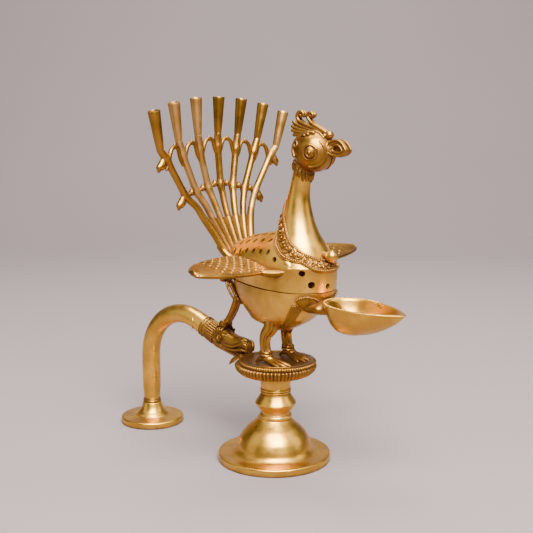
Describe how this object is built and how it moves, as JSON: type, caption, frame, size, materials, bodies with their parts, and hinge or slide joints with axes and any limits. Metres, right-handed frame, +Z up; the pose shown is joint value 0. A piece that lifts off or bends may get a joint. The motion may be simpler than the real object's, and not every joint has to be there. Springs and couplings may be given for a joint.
{
  "type": "peacock incense burner and oil lamp",
  "caption": "Brass peacock burner on a turned pedestal with an arched handle, pierced hinged lid, oil spoon at the breast and incense sockets in the tail.",
  "frame": {"origin": "centre of the object's box in plan, on the surface it stands on; the pedestal's axis is 19.65 mm in front of it", "axes": "+X towards the beak and the oil spoon, +Y to the bird's left, +Z up; the object is symmetric about the XZ plane"},
  "size_m": [0.227, 0.1482, 0.2232],
  "materials": {
    "brass_polished": "satin polished",
    "brass_cast": "cast, chased, with brown in the recesses",
    "brass_brown": "cast, darkened by heat",
    "brass_hardware": "plain turned"
  },
  "bodies": {
    "stand": {"pedestal_base": "brass_polished", "pedestal_stem": "brass_polished", "platform_skirt": "brass_cast", "platform_disc": "brass_cast", "tie_stud": "brass_hardware", "stud_washer": "brass_hardware", "stud_nut": "brass_hardware", "handle_foot": "brass_polished", "handle_collar": "brass_polished", "handle_arm": "brass_polished", "handle_ferrule": "brass_cast", "makara_head": "brass_cast", "tail_strut": "brass_cast", "strut_rivet": "brass_hardware", "body_bowl": "brass_polished", "oil_spoon": "brass_polished", "leg_left": "brass_cast", "leg_right": "brass_cast", "hinge_leaf_bowl": "brass_cast", "hinge_pin": "brass_hardware"},
    "lid": {"body_lid": "brass_cast", "neck": "brass_polished", "necklace": "brass_cast", "chest_knob": "brass_polished", "neck_ruff": "brass_cast", "head": "brass_polished", "beak": "brass_polished", "cere_bead": "brass_polished", "crest": "brass_cast", "wing_left": "brass_cast", "wing_right": "brass_cast", "tail_root": "brass_cast", "tail_rod_1": "brass_brown", "tail_rod_2": "brass_brown", "tail_rod_3": "brass_brown", "tail_rod_4": "brass_brown", "tail_rod_5": "brass_brown", "tail_rod_6": "brass_brown", "tail_rod_7": "brass_brown", "tail_upper_links": "brass_cast", "tail_lower_links": "brass_cast", "tail_buds": "brass_cast", "hinge_leaf_lid": "brass_cast"}
  },
  "joints": [
    {"name": "lid_hinge", "type": "hinge", "parent": "stand", "child": "lid", "pos_m": [-0.01985, 0, 0.1096], "axis": [0, -1, 0], "range_deg": [0, 75]}
  ]
}
